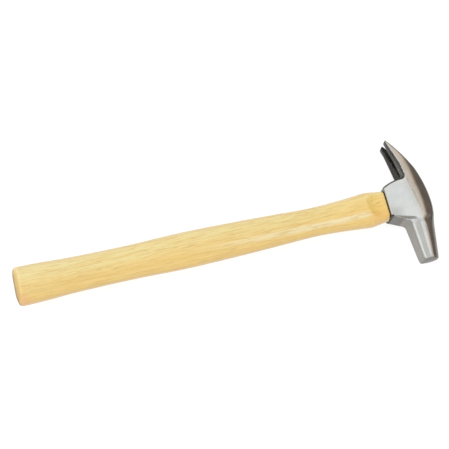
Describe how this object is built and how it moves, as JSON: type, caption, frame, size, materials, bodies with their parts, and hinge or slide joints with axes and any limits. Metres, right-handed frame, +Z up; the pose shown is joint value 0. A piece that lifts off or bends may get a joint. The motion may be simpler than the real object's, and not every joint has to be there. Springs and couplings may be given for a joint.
{
  "type": "tack hammer",
  "caption": "Small claw hammer with a one-piece steel head, a tapering poll, a curved slotted claw and a wedged pale wooden handle.",
  "frame": {"origin": "under the middle of the hammer as it lies on its side, at the height of the surface it lies on", "axes": "+X along the handle towards the head, +Y from the handle towards the claw, +Z up through the cheeks"},
  "size_m": [0.326, 0.1008, 0.022],
  "materials": {
    "ground_steel": "forged, ground and satin polished",
    "lacquered_wood": "sanded and clear lacquered",
    "wedge_wood": "bare hardwood end grain",
    "wedge_steel": "dark rolled steel, hammered end"
  },
  "bodies": {
    "root": {"head": "ground_steel", "handle": "lacquered_wood", "kerf_wedge": "wedge_wood", "steel_wedge_claw_side": "wedge_steel", "steel_wedge_face_side": "wedge_steel"}
  },
  "joints": []
}
